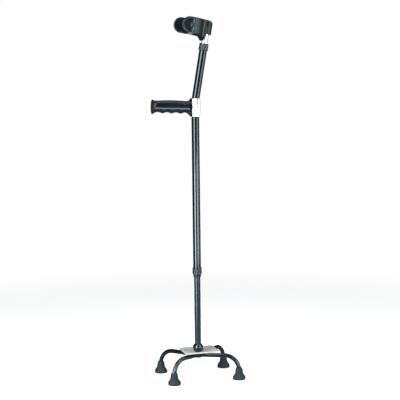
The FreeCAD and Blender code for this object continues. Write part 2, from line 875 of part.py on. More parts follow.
def make_bracket(tube_outside, bolt):
    """The bright saddle round the tube's rear, its two arms open to the front."""
    radius = "(tube_outer / 2 + bracket_wall)"
    round_rear = cylinder("bracket_rear", radius, "bracket_height", ("0", "0", BRACKET_BOTTOM))
    top = f"{BRACKET_BOTTOM} + bracket_height"
    arms = box("bracket_arms", (f"-{BRACKET_FRONT}", f"-{radius}", BRACKET_BOTTOM),
               ("0", radius, top))
    mouth = box("bracket_mouth",
                (f"-2 * {BRACKET_FRONT}", "-tube_outer / 2", f"{BRACKET_BOTTOM} - 1"),
                ("0", "tube_outer / 2", f"{top} + 1"))
    blank = cut("bracket_blank", joined("bracket_solid", round_rear, arms), mouth)
    hollow = joined("bracket_hollow", tube_outside, bolt)
    return cut("grip_bracket", blank, hollow)


def make_grip_bolt():
    """The countersunk bolt through bracket and tube into the grip's core."""
    head = f"{BRACKET_FRONT} + tube_outer / 2 + bracket_wall - grip_bolt_recess"
    cone = "(grip_bolt_head - grip_bolt) / 2"
    body = turned("grip_bolt_turned", [
        ("-grip_insert + grip_bolt_short", "0"),
        (head, "0"),
        (head, "grip_bolt_head / 2"),
        (f"{head} - {cone}", "grip_bolt / 2"),
        ("-grip_insert + grip_bolt_short", "grip_bolt / 2"),
    ], axis="H_Axis")
    return on_grip(group("grip_bolt_screw", [body]))


def make_grip_insert():
    body = turned("grip_insert_turned", [
        ("-grip_core_lead", "grip_bolt / 2"),
        ("-grip_core_lead", "grip_core / 2 - grip_core_wall"),
        ("-grip_insert", "grip_core / 2 - grip_core_wall"),
        ("-grip_insert", "grip_bolt / 2"),
    ], axis="H_Axis")
    return on_grip(group("grip_core_insert", [body]))


CORE_END = "(grip_length - grip_cap_depth)"


def make_grip_core():
    """The steel tube inside the grip."""
    body = turned("grip_core_turned", [
        ("-grip_core_lead", "grip_core / 2 - grip_core_wall"),
        ("-grip_core_lead", "grip_core / 2"),
        (f"-{CORE_END}", "grip_core / 2"),
        (f"-{CORE_END}", "grip_core / 2 - grip_core_wall"),
    ], axis="H_Axis")
    return on_grip(group("grip_core_tube", [body]))


def make_grip_cap():
    """The push-in cap that closes the grip's outer end."""
    stem = "grip_core / 2 - grip_core_wall"
    cap_face = "-grip_length - grip_cap_proud"
    body = turned("grip_cap_turned", [
        (f"-{CORE_END} + grip_cap_depth", "0"),
        (f"-{CORE_END} + grip_cap_depth", stem),
        (f"-{CORE_END}", stem),
        (f"-{CORE_END}", "grip_core / 2"),
        ("-grip_length + grip_cap_flange", "grip_core / 2"),
        ("-grip_length + grip_cap_flange", "grip_cap / 2"),
        (f"{cap_face} + grip_cap_bevel", "grip_cap / 2"),
        (cap_face, "grip_cap / 2 - grip_cap_bevel"),
        (cap_face, "0"),
    ], axis="H_Axis")
    return on_grip(group("grip_end_cap", [body]))


OVAL_POINTS = 16
OVAL_POWER = 0.9  # 1 is an ellipse, and less is fuller at the corners


def oval(along, above, below, half_width):
    """A rounded-box section of the grip, above and below its axis."""
    points = []
    for step in range(OVAL_POINTS):
        angle = 2 * math.pi * step / OVAL_POINTS
        across, up = math.cos(angle), math.sin(angle)
        height = above if up > 0 else below
        y = half_width * math.copysign(abs(across) ** OVAL_POWER, across)
        z = height * math.copysign(abs(up) ** OVAL_POWER, up)
        points.append(vector(-along, y, z))
    curve = Part.BSplineCurve()
    curve.interpolate(Points=points, PeriodicFlag=True)
    return Part.Wire(curve.toShape())


def grip_sections():
    """Stations along the grip: how far out, and its height above and below and half width."""
    length, half = value("grip_length"), value("grip_width / 2")
    top, swell = value("grip_top"), value("grip_swell")
    under, depth = value("grip_underside"), value("finger_depth")
    first, last = value("finger_first"), value("finger_last")
    pitch = (length - first - last) / (FINGERS - 1)
    flange, flange_half = value("flange_height / 2"), value("flange_width / 2")
    end, end_half = value("grip_end_height / 2"), value("grip_end_width / 2")
    lip = value("flange_lip")
    root = value("flange_root")
    mouth, throat = value("grip_end_lip"), value("grip_end_throat")
    rows = [
        (-value("grip_lead"), flange, flange, flange_half),
        (lip, flange - lip / 4, flange - lip / 2.6, flange_half),
        (root, top + root / 6, under + root / 6, half),
    ]
    for half_step in range(2 * FINGERS - 1):
        out = first + half_step * pitch / 2
        arch = swell * math.sin(math.pi * out / length)
        groove = depth if half_step % 2 == 0 else 0.0
        rows.append((out, top + arch, under - groove, half))
    rows += [
        (length - throat, top, under - mouth / 2, half),
        (length - mouth, end - mouth / 2.5, end - mouth / 2, end_half - mouth / 5),
        (length, end, end, end_half),
    ]
    return rows


def make_grip(cap):
    """The moulded grip: a loft through its sections, cut square at the bracket and bored."""
    moulding = doc.addObject("Part::Feature", "grip_moulding")
    moulding.Shape = Part.makeLoft([oval(*row) for row in grip_sections()], True, False)
    on_grip(moulding)
    reach = "grip_length"
    bracket_side = box("grip_trim", (f"-{BRACKET_FRONT}", f"-{reach}", f"{GRIP_HEIGHT} - {reach}"),
                       (reach, reach, f"{GRIP_HEIGHT} + {reach}"))
    bore = grip_cylinder("grip_bore", "grip_core / 2", f"{CORE_END} + grip_lead", "grip_lead")
    return cut("hand_grip", moulding, joined("grip_hollow", bracket_side, bore, cap))


# ---------------------------------------------------------------- forearm cuff
# Drawn upright on the leaning axis: -x is forward, z is the height above the tube's upper end.

CUFF_TOP = "(cuff_bottom + cuff_height)"
CUFF_MID = "(cuff_bottom + cuff_height / 2)"
YOKE_RADIUS = "(cuff_radius + yoke_wall)"
# The tongue's front edge: how far ahead of its face, and how far below the wings' lower edge.
TONGUE_CURVE = ((14, 2.6), (6, 7), (2, 12))
# The tongue's sides: how far outside its half width, and how far above its tip.
TONGUE_FLARE = ((14, 11), (7, 5.5))
# The housing's round top: how far ahead of its rear face, and how far below its top.
HOUSING_CURVE = ((1.2, 7.5), (4.7, 3.6), (9.8, 1.1), (17, 0))
# The web's front corners, as shares of the band's radius.
WEB_REACH, WEB_HALF = 0.85, 0.62
POST_ROOM = f"({INNER} / 2 + thread_gap)"
CUFF_CENTRE = f"({POST_ROOM} + tilt_room_front + cuff_backing + cuff_radius)"
CUFF_REACH = f"({CUFF_CENTRE} + cuff_arm)"
WING_FRONT = f"({CUFF_CENTRE} - wing_back)"
FINGER_FRONT = f"({CUFF_CENTRE} + finger_reach)"
HOUSING_RADIUS = f"({POST_ROOM} + tilt_room_rear + housing_wall)"
HOUSING_BOTTOM = "(cuff_bottom + housing_lift)"
TONGUE_TIP = "(cuff_bottom - tongue_drop)"


def make_band():
    """The springy C-shaped band, flared along both edges, with round ends."""
    body = new_body("band_strip")
    inner, outer = "cuff_radius - cuff_thick", "cuff_radius"
    rim = "(cuff_radius + cuff_rim)"
    section = outline(body, "band_section", "YZ_Plane", [
        (f"-({inner})", "cuff_bottom + cuff_rim"),
        (f"-({inner})", f"{CUFF_TOP} - cuff_rim"),
        (f"-({inner}) - cuff_rim / 2", CUFF_TOP),
        (f"-{rim}", CUFF_TOP),
        (f"-{rim}", f"{CUFF_TOP} - cuff_rim"),
        (f"-{outer}", f"{CUFF_TOP} - 2 * cuff_rim"),
        (f"-{outer}", "cuff_bottom + 2 * cuff_rim"),
        (f"-{rim}", "cuff_bottom + cuff_rim"),
        (f"-{rim}", "cuff_bottom"),
        (f"-({inner}) - cuff_rim / 2", "cuff_bottom"),
    ], offset=f"-{CUFF_REACH}")
    middle = "(cuff_radius - cuff_thick / 2)"
    path = bent_path(
        body, "band_path", "XY_Plane",
        start=(f"-{CUFF_REACH}", f"-{middle}"),
        turn_start=(f"-{CUFF_CENTRE}", f"-{middle}"),
        centre=(f"-{CUFF_CENTRE}", "0"),
        turn_end=(f"-{CUFF_CENTRE}", middle),
        finish=(f"-{CUFF_REACH}", middle),
        held="DistanceX",
        offset=CUFF_MID,
    )
    swept(body, section, path)
    wide = "2 * cuff_radius"
    end = cylinder("band_end_round", "cuff_height / 2", f"2 * {wide}",
                   (f"-{CUFF_REACH} + cuff_height / 2", wide, CUFF_MID), (1, 0, 0), "90 deg")
    rest = box("band_end_rest",
               (f"-{CUFF_REACH} + cuff_height / 2", f"-({wide})", "cuff_bottom - 1"),
               ("cuff_radius", wide, f"{CUFF_TOP} + 1"))
    return common("cuff_band", body, joined("band_side", end, rest))


def make_yoke(band, pin_room, rivets):
    """The rear moulding: post housing, two wings outside the band and a tongue on the post."""
    wing_top = f"({CUFF_TOP} - cuff_rim)"
    wing_bottom = "(cuff_bottom + cuff_rim)"
    low, high = TONGUE_TIP, CUFF_TOP
    tall = f"({high} - {low})"
    ring = cylinder("wing_ring", YOKE_RADIUS, tall, (f"-{CUFF_CENTRE}", "0", low))
    finger_low = f"{CUFF_MID} - yoke_finger_height / 2"
    finger_high = f"{CUFF_MID} + yoke_finger_height / 2"
    ahead = box("wing_front", (f"-{CUFF_CENTRE} - {YOKE_RADIUS}", f"-{YOKE_RADIUS}", low),
                (f"-{WING_FRONT}", YOKE_RADIUS, high))
    wings = cut("wing_rear", ring, ahead)
    fingers = box("wing_fingers", (f"-{FINGER_FRONT}", f"-{YOKE_RADIUS}", finger_low),
                  (f"-{WING_FRONT}", YOKE_RADIUS, finger_high))
    housing = cylinder("housing_round_body", HOUSING_RADIUS, tall, ("0", "0", low))
    web_body = new_body("yoke_web")
    web = outline(web_body, "web_outline", "XY_Plane", [
        ("2", HOUSING_RADIUS),
        (f"-{CUFF_CENTRE} + cuff_radius * {WEB_REACH}", f"cuff_radius * {WEB_HALF}"),
        (f"-{CUFF_CENTRE} + cuff_radius * {WEB_REACH}", f"-cuff_radius * {WEB_HALF}"),
        ("2", f"-{HOUSING_RADIUS}"),
    ], offset=low)
    padded(web_body, web, tall)
    side_body = new_body("yoke_side")
    front = f"-{FINGER_FRONT} - 1"
    tongue = f"(-{INNER} / 2 - tilt_room_front - tongue_thick)"
    side = outline(side_body, "yoke_side_outline", "XZ_Plane", [
        (front, wing_bottom),
        (f"-{WING_FRONT} + 6", wing_bottom),
        *((f"{tongue} - {ahead}", f"{wing_bottom} - {below}") for ahead, below in TONGUE_CURVE),
        (tongue, f"{TONGUE_TIP} + 1.5"),
        (f"{tongue} + 1.5", TONGUE_TIP),
        (f"-{INNER} / 2 + 1.5", TONGUE_TIP),
        (f"-{INNER} / 2 + 3.5", HOUSING_BOTTOM),
        (f"{HOUSING_RADIUS} + 1", HOUSING_BOTTOM),
        (f"{HOUSING_RADIUS} + 1", f"{high} - housing_round"),
        *((f"{HOUSING_RADIUS} - {ahead}", f"{high} - {below}") for ahead, below in HOUSING_CURVE),
        (f"-{HOUSING_RADIUS} * 1.3", high),
        (f"-{HOUSING_RADIUS} * 2.2", wing_top),
        (front, wing_top),
    ], offset=f"-{YOKE_RADIUS} - 1")
    padded(side_body, side, f"2 * {YOKE_RADIUS} + 2")
    wide = f"({YOKE_RADIUS} + 1)"
    half = [
        (wide, f"{high} + 1"),
        (wide, wing_bottom),
        *((f"(tongue_half + {aside})", f"{low} + {above}") for aside, above in TONGUE_FLARE),
        ("tongue_half", f"{low} - 1"),
    ]
    other_half = [(f"-{across}", height) for across, height in reversed(half)]
    front_body = new_body("yoke_front")
    taper = outline(front_body, "yoke_front_outline", "YZ_Plane", half + other_half,
                    offset=f"-{FINGER_FRONT} - 2")
    padded(front_body, taper, f"{FINGER_FRONT} + {HOUSING_RADIUS} + 4")
    inside = cylinder("yoke_inside", "cuff_radius", f"{tall} + 2",
                      (f"-{CUFF_CENTRE}", "0", f"{low} - 1"))
    inside_front = box("yoke_inside_front", (f"-2 * {CUFF_REACH}", "-cuff_radius", f"{low} - 1"),
                       (f"-{CUFF_CENTRE}", "cuff_radius", f"{high} + 1"))
    bore_top = f"{high} - housing_roof"
    bore_tall = f"{bore_top} - {low} + 1"
    bore_post = cylinder("post_room", POST_ROOM, bore_tall, ("0", "0", f"{low} - 1"))
    bore_rear = cylinder("post_room_rear", POST_ROOM, f"{PIVOT} + tilt_room_rise - {low} + 1",
                         ("tilt_room_rear", "0", f"{low} - 1"))
    bore_front = cylinder("post_room_front", POST_ROOM, bore_tall,
                          ("-tilt_room_front", "0", f"{low} - 1"))
    bore_middle = box("post_room_middle", ("-tilt_room_front", f"-{POST_ROOM}", f"{low} - 1"),
                      ("tilt_room_rear", POST_ROOM, bore_top))
    blank = joined("yoke_blank", wings, fingers, housing, web_body)
    shaped = common("yoke_shaped", common("yoke_tapered", blank, side_body), front_body)
    hollow = joined("yoke_hollow", inside, inside_front, bore_post, bore_rear, bore_front,
                    bore_middle, band, pin_room, rivets)
    return cut("cuff_yoke", shaped, hollow)


def make_rivet(name, side, behind):
    """A domed rivet square to the band, at a distance behind the band's round centre."""
    inner = "cuff_radius - cuff_thick"
    body = turned(name, [
        (f"{inner} - rivet_height / 2", "0"),
        (f"{YOKE_RADIUS} + rivet_height", "0"),
        (f"{YOKE_RADIUS} + rivet_height * 0.85", "rivet_head / 5"),
        (f"{YOKE_RADIUS} + rivet_height * 0.5", "rivet_head / 2.8"),
        (YOKE_RADIUS, "rivet_head / 2"),
        (YOKE_RADIUS, "rivet_shank / 2"),
        (inner, "rivet_shank / 2"),
        (inner, "rivet_head / 2"),
        (f"{inner} - rivet_height / 2", "rivet_head / 2 - rivet_height / 2"),
    ], axis="H_Axis")
    turn = f"90 deg - asin({behind} / cuff_radius)"
    return place(body, (f"-{CUFF_CENTRE}", "0", CUFF_MID), (0, 0, side), turn)


def make_pivot_pin():
    """The cross pin that the cuff tilts on, headed at both ends."""
    half = f"({HOUSING_RADIUS} + thread_gap)"
    body = turned("pivot_pin_turned", [
        ("0", f"-{half} - pivot_head_thick"),
        ("pivot_head / 2 - pivot_head_bevel", f"-{half} - pivot_head_thick"),
        ("pivot_head / 2", f"-{half} - pivot_head_thick + pivot_head_bevel"),
        ("pivot_head / 2", f"-{half}"),
        ("pivot_pin / 2", f"-{half}"),
        ("pivot_pin / 2", half),
        ("pivot_head / 2", half),
        ("pivot_head / 2", f"{half} + pivot_head_thick - pivot_head_bevel"),
        ("pivot_head / 2 - pivot_head_bevel", f"{half} + pivot_head_thick"),
        ("0", f"{half} + pivot_head_thick"),
    ])
    place(body, ("0", "0", PIVOT), (1, 0, 0), "90 deg")
    return body


def make_pin_room():
    """The pin's running hole through the yoke, with a flat seat under each head."""
    hole = cylinder("pin_hole", "pivot_pin / 2 + fit_gap", f"4 * {HOUSING_RADIUS}",
                    ("0", f"2 * {HOUSING_RADIUS}", PIVOT), (1, 0, 0), "90 deg")
    seats = [
        cylinder(f"pin_seat_{side}", "pivot_head / 2 + pivot_seat_gap", HOUSING_RADIUS,
                 ("0", start, PIVOT), (1, 0, 0), "90 deg")
        for side, start in (("right", f"2 * {HOUSING_RADIUS}"), ("left", f"-{HOUSING_RADIUS}"))
    ]
    return joined("pin_room", hole, *seats)


def make_cuff_plug():
    """The plug in the cuff tube's top, which backs the pivot pin."""
    body = turned("cuff_plug_turned", [
        ("0", "0"),
        (BORE, "0"),
        (BORE, "cuff_plug"),
        (f"{INNER} / 2", "cuff_plug"),
        (f"{INNER} / 2 - cuff_plug_cap / 2", "cuff_plug + cuff_plug_cap"),
        ("0", "cuff_plug + cuff_plug_cap"),
    ])
    bored(body, "cuff_plug_pin_hole", "pivot_pin", f"2 * {INNER}",
          ("0", INNER, f"{PIVOT} - {POST_END} + cuff_plug"), (1, 0, 0), "90 deg")
    place(body, ("0", "0", f"{POST_END} - cuff_plug"))
    return lean(group("cuff_post_plug", [body]))


# ---------------------------------------------------------------- assembly and export


def build():
    """Make every sub-part and return them by node name."""
    nodes = {}
    washers, welds = [], []
    for corner, (side_x, side_y) in CORNERS.items():
        nodes[f"leg_{corner}"] = make_leg(corner, side_x, side_y)
        nodes[f"tip_{corner}"] = make_tip(corner, side_x, side_y)
        washers.append(make_tip_washer(corner, side_x, side_y))
        welds.append(make_weld(corner, side_x, side_y))
    nodes["tip_washers"] = group("tip_washers", washers)
    nodes["weld_beads"] = group("weld_beads", welds)
    nodes["leg_boss"] = make_boss()
    nodes["base_plate"] = make_plate()
    nodes["hub_ball"] = make_hub()
    nodes["base_bolt"] = make_bolt()
    nodes["base_washer"] = make_washer()
    nodes["leg_tube_plug"] = make_leg_plug()
    nodes["leg_tube"] = make_leg_tube()
    nodes["leg_button"] = place(make_button("leg_button"), ("0", "0", LEG_BUTTON))
    nodes["leg_button_spring"] = place(make_clip("leg_button_spring"), ("0", "0", LEG_BUTTON))

    nodes["main_tube"] = make_outer_tube()
    nodes["lower_bushing"] = at_lower_end(make_bushing("lower_bushing", "lower_skirt"))
    nodes["lower_collet"] = at_lower_end(make_collet("lower_collet", "lower_nose"))
    nodes["lower_lock_nut"] = at_lower_end(make_nut(
        "lower_lock_nut", "lower_skirt", "lower_nose", "lower_shoulder",
        f"{SLEEVE} - bushing_wall / 2", f"{RUNNING} + collet_wall + nose_gap"))
    straight = f"{SLEEVE} + thread_gap + nut_wall - nut_bevel / 2"
    nodes["upper_bushing"] = at_upper_end(
        make_bushing("upper_bushing_ring", "upper_skirt"), "upper_bushing")
    nodes["upper_collet"] = at_upper_end(
        make_collet("upper_collet_ring", "upper_nose"), "upper_collet")
    nodes["upper_lock_nut"] = at_upper_end(make_nut(
        "upper_nut_ring", "upper_skirt", "upper_nose", "upper_nose - nut_bevel",
        f"{straight} - nose_taper", f"{straight} - 2 * nose_taper"), "upper_lock_nut")

    nodes["grip_bolt"] = make_grip_bolt()
    nodes["grip_bracket"] = make_bracket(make_solid_tube(), nodes["grip_bolt"])
    nodes["grip_insert"] = make_grip_insert()
    nodes["grip_core"] = make_grip_core()
    nodes["grip_end_cap"] = make_grip_cap()
    nodes["hand_grip"] = make_grip(nodes["grip_end_cap"])

    nodes["cuff_tube"] = make_cuff_tube()
    nodes["cuff_tube_plug"] = make_cuff_plug()
    nodes["cuff_button"] = on_cuff_post(make_button("cuff_button_turned"), "cuff_button")
    nodes["cuff_button_spring"] = on_cuff_post(make_clip("cuff_clip_strip"), "cuff_button_spring")
    pin = make_pivot_pin()
    pin_room = make_pin_room()
    nodes["cuff_pivot_pin"] = lean(group("cuff_pivot_pin", [pin]))
    band = make_band()
    rivets = [
        make_rivet(f"rivet_{place_name}_{'right' if side > 0 else 'left'}", side, behind)
        for place_name, behind in (("front", "rivet_front"), ("rear", "rivet_rear"))
        for side in (-1, 1)
    ]
    all_rivets = joined("rivet_tools", *rivets)
    yoke = make_yoke(band, pin_room, all_rivets)
    nodes["cuff_band"] = lean(cut("cuff_band_drilled", band, all_rivets))
    nodes["cuff_rivets"] = lean(group("cuff_rivets", rivets))
    nodes["cuff_yoke"] = lean(yoke)
    return {name: beside(name, item) for name, item in nodes.items()}


def check():
    """Stop if any object of the document failed."""
    for item in doc.Objects:
        if "Invalid" in item.State or "Error" in item.State:
            raise RuntimeError(f"{item.Name} failed: {item.State}")


def export(nodes):
    """Write each sub-part to its own STEP file."""
    os.makedirs("parts", exist_ok=True)
    for name, item in nodes.items():
        item.Label = name
        shape = item.Shape
        if shape.isNull() or not shape.isValid() or not shape.Solids:
            raise RuntimeError(f"{name} has no valid solid")
        shape.exportStep(f"parts/{name}.step")
        print(f"{name}: {len(shape.Solids)} solid(s), {shape.Volume:.0f} mm3")


NODES = build()
doc.recompute()
check()
export(NODES)
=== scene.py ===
import bpy
import bmesh
import json
import math
from mathutils import Matrix, Vector


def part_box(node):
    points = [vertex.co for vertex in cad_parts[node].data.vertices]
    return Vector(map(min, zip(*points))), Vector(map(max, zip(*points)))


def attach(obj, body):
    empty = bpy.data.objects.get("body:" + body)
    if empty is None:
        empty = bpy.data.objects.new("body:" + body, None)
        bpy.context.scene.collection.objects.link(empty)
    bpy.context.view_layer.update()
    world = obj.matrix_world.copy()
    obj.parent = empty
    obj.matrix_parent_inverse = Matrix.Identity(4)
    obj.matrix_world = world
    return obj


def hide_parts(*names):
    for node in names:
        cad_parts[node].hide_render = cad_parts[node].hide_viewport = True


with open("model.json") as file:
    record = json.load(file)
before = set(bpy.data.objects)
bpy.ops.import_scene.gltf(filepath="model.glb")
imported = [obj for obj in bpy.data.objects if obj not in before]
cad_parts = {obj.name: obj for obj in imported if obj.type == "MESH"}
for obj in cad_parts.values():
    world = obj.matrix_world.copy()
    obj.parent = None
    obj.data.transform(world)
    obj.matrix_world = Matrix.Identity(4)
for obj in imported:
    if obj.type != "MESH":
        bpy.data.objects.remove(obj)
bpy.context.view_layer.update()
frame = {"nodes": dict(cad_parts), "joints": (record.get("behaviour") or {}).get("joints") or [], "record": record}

MM = 0.001
JOINTS = {joint["name"]: joint for joint in frame["joints"]}
SLOT_OF = {part["node"]: part["material_slot"] for part in frame["record"]["subparts"]}

# The leaning arm's frame: origin on the outer tube's upper end, x away from the user's front,
# z along the tube.  The shaft's frame: origin on the outer tube's lower end, z downwards.
AXIS = Vector(JOINTS["cuff_slide"]["axis"]).normalized()
ACROSS = Vector((AXIS.z, 0.0, -AXIS.x))
TUBE_TOP = Vector(JOINTS["upper_nut_turn"]["pos_m"])
TUBE_BOTTOM = Vector(JOINTS["lower_nut_turn"]["pos_m"])
SIDE = Vector((0.0, 1.0, 0.0))


def frame_of(origin, x, y, z):
    """The matrix of a frame with that origin and those axes."""
    matrix = Matrix((x, y, z)).transposed().to_4x4()
    matrix.translation = origin
    return matrix


ARM = frame_of(TUBE_TOP, ACROSS, SIDE, AXIS)
FOOT = frame_of(TUBE_BOTTOM, Vector((1, 0, 0)), Vector((0, -1, 0)), Vector((0, 0, -1)))


# ---------------------------------------------------------------- materials


class Nodes:
    """A short way to build one material's node tree."""

    def __init__(self, name):
        self.material = bpy.data.materials.new(name)
        self.material.use_nodes = True
        self.tree = self.material.node_tree
        self.tree.nodes.clear()
        self.shader = self.add("ShaderNodeBsdfPrincipled")
        output = self.add("ShaderNodeOutputMaterial")
        self.link(self.shader.outputs["BSDF"], output.inputs["Surface"])
        self.place = self.add("ShaderNodeTexCoord").outputs["Object"]

    def add(self, kind, **values):
        node = self.tree.nodes.new(kind)
        for key, value in values.items():
            if hasattr(node, key):
                setattr(node, key, value)
            else:
                node.inputs[key.replace("_", " ")].default_value = value
        return node

    def link(self, source, target):
        self.tree.links.new(source, target)

    def noise(self, scale, detail=3.0, rough=0.55, stretch=(1, 1, 1), warp=0.0):
        """Noise with about that many lumps a metre; stretch divides the scale by axis."""
        source = self.place
        if stretch != (1, 1, 1):
            mapping = self.add("ShaderNodeMapping")
            mapping.inputs["Scale"].default_value = [1 / part for part in stretch]
            self.link(source, mapping.inputs["Vector"])
            source = mapping.outputs["Vector"]
        node = self.add("ShaderNodeTexNoise")
        node.inputs["Scale"].default_value = scale
        node.inputs["Detail"].default_value = detail
        node.inputs["Roughness"].default_value = rough
        node.inputs["Distortion"].default_value = warp
        self.link(source, node.inputs["Vector"])
        return node.outputs["Fac"]

    def ramp(self, source, stops):
        """A colour ramp through (position, colour or grey) stops."""
        node = self.add("ShaderNodeValToRGB")
        while len(node.color_ramp.elements) < len(stops):
            node.color_ramp.elements.new(0.5)
        for element, (position, colour) in zip(node.color_ramp.elements, stops):
            element.position = position
            shade = colour if isinstance(colour, tuple) else (colour,) * 3
            element.color = (*shade, 1.0)
        self.link(source, node.inputs["Fac"])
        return node.outputs["Color"]

    def mix(self, factor, first, second, blend="MIX"):
        node = self.add("ShaderNodeMix", data_type="RGBA", blend_type=blend)
        for source, socket in ((factor, node.inputs[0]), (first, node.inputs[6]),
                               (second, node.inputs[7])):
            if isinstance(source, tuple):
                socket.default_value = (*source, 1.0)
            elif isinstance(source, float):
                socket.default_value = source
            else:
                self.link(source, socket)
        return node.outputs[2]

    def bump(self, height, strength, distance, normal=None):
        node = self.add("ShaderNodeBump")
        node.inputs["Strength"].default_value = strength
        node.inputs["Distance"].default_value = distance
        self.link(height, node.inputs["Height"])
        if normal is not None:
            self.link(normal, node.inputs["Normal"])
        return node.outputs["Normal"]

    def set(self, **sockets):
        """Set or link the shader's sockets; an underscore stands for a space."""
        for key, value in sockets.items():
            socket = self.shader.inputs[key.replace("_", " ")]
            if isinstance(value, tuple):
                socket.default_value = (*value, 1.0)
            elif isinstance(value, (int, float)):
                socket.default_value = value
            else:
                self.link(value, socket)
        return self.material

    def height_above_floor(self):
        split = self.add("ShaderNodeSeparateXYZ")
        self.link(self.place, split.inputs["Vector"])
        return split.outputs["Z"]


COOL = (0.74, 0.92, 1.0)  # the tint of what black surfaces reflect


def gloss_enamel(name, dark, light, rough, stretch=(1, 1, 1)):
    """Gloss enamel with faint orange peel, rubbed patches and hairline scratches."""
    n = Nodes(name)
    cloud = n.noise(22, 4, 0.6, stretch)
    hair = n.ramp(n.noise(900, 2, 0.5, (1, 1, 30), 0.4), [(0.0, 0.0), (0.70, 0.0), (0.80, 1.0)])
    colour = n.ramp(cloud, [(0.3, dark), (0.7, light)])
    worn = tuple(part * 1.6 + 0.004 for part in light)
    peel = n.bump(n.noise(300, 2), 0.04, 0.00006)
    return n.set(
        Base_Color=n.mix(hair, colour, worn),
        Roughness=n.ramp(cloud, [(0.25, rough * 0.75), (0.75, rough * 1.4)]),
        Normal=n.bump(hair, 0.05, 0.00001, peel),
        Specular_Tint=COOL,
        Coat_Weight=0.15,
        Coat_Roughness=0.06,
        Coat_Tint=COOL,
    )


def satin_metal(name, dark, light, rough, grain=(1, 1, 40), metallic=1.0):
    """Anodised or brushed metal: drawing lines along one axis and soft stains."""
    n = Nodes(name)
    lines = n.noise(2600, 3, 0.6, grain)
    stain = n.noise(35, 4, 0.6)
    base = n.ramp(stain, [(0.3, dark), (0.72, light)])
    streak = n.ramp(lines, [(0.3, 0.82), (0.7, 1.0)])
    return n.set(
        Base_Color=n.mix(1.0, base, streak, "MULTIPLY"),
        Roughness=n.ramp(lines, [(0.25, rough * 0.85), (0.75, rough * 1.2)]),
        Normal=n.bump(lines, 0.05, 0.00001),
        Metallic=metallic,
    )


def grained_plastic(name, dark, light, rough, cell=1500, depth=0.0001, edge=None):
    """Moulded plastic: fine leather grain, uneven gloss and, where edge is given, a painted highlight: a lighter
    colour in patches on convex ridges, which are also made glossier.
    """
    n = Nodes(name)
    cell_node = n.add("ShaderNodeTexVoronoi", feature="SMOOTH_F1")
    cell_node.inputs["Scale"].default_value = cell
    n.link(n.place, cell_node.inputs["Vector"])
    grain = cell_node.outputs["Distance"]
    cloud = n.noise(40, 5, 0.6)
    colour = n.ramp(cloud, [(0.3, dark), (0.7, light)])
    gloss = n.ramp(cloud, [(0.25, rough * 0.85), (0.8, min(1.0, rough * 1.2))])
    # Convex ridges, found from pointiness, get the edge colour in noisy patches, which is a painted highlight; the
    # same patches also lower the roughness.
    if edge is not None:
        bend = n.add("ShaderNodeNewGeometry").outputs["Pointiness"]
        ridge = n.ramp(bend, [(0.0, 0.0), (0.51, 0.0), (0.60, 1.0)])
        ridge_highlight_and_gloss_mask = n.mix(1.0, ridge, n.ramp(n.noise(260, 4), [(0.35, 0.2), (0.65, 1.0)]), "MULTIPLY")
        colour = n.mix(ridge_highlight_and_gloss_mask, colour, edge)
        gloss = n.mix(ridge_highlight_and_gloss_mask, gloss, (rough * 0.7,) * 3)
    fine = n.bump(n.noise(cell * 2.4, 2), 0.05, depth * 0.5)
    return n.set(
        Base_Color=colour,
        Roughness=gloss,
        Normal=n.bump(grain, 0.3, depth, fine),
        Specular_IOR_Level=0.42,
        Specular_Tint=COOL,
    )


def tip_rubber(name):
    """Moulded rubber: matte, slightly bloomed, with floor dust near the tread."""
    n = Nodes(name)
    cloud = n.noise(75, 5, 0.65)
    base = n.ramp(cloud, [(0.25, (0.004, 0.0068, 0.009)), (0.75, (0.010, 0.0145, 0.0175))])
    low = n.ramp(n.height_above_floor(), [(0.0, 1.0), (0.004, 0.55), (0.016, 0.0)])
    dust = n.mix(1.0, low, n.ramp(n.noise(420, 5, 0.7), [(0.4, 0.0), (0.8, 0.35)]), "MULTIPLY")
    return n.set(
        Base_Color=n.mix(dust, base, (0.16, 0.15, 0.14)),
        Roughness=n.ramp(cloud, [(0.2, 0.52), (0.8, 0.74)]),
        Normal=n.bump(n.noise(1800, 3, 0.6), 0.15, 0.00004),
        Specular_IOR_Level=0.3,
        Specular_Tint=COOL,
    )


def bright_post(name):
    """Bright anodised aluminium with fine drawing lines and small handling marks."""
    n = Nodes(name)
    lines = n.noise(2400, 3, 0.6, (1, 1, 60))
    marks = n.ramp(n.noise(160, 5, 0.7), [(0.45, 1.0), (0.8, 0.88)])
    tone = n.ramp(lines, [(0.3, (0.80, 0.80, 0.83)), (0.7, (0.93, 0.92, 0.93))])
    return n.set(
        Base_Color=n.mix(1.0, tone, marks, "MULTIPLY"),
        Roughness=n.ramp(lines, [(0.2, 0.32), (0.8, 0.38)]),
        Normal=n.bump(lines, 0.05, 0.00001),
        Metallic=1.0,
    )


def zinc_plate(name):
    """Zinc plate: faint crystal patches, cool tint and a few dull marks."""
    n = Nodes(name)
    cells = n.add("ShaderNodeTexVoronoi")
    cells.inputs["Scale"].default_value = 480
    n.link(n.place, cells.inputs["Vector"])
    tone = n.ramp(cells.outputs["Color"], [(0.0, (0.50, 0.51, 0.53)), (1.0, (0.70, 0.71, 0.73))])
    dull = n.noise(140, 4, 0.6)
    return n.set(
        Base_Color=tone,
        Roughness=n.ramp(dull, [(0.3, 0.24), (0.8, 0.46)]),
        Normal=n.bump(n.noise(1500, 2), 0.1, 0.00005),
        Metallic=1.0,
    )
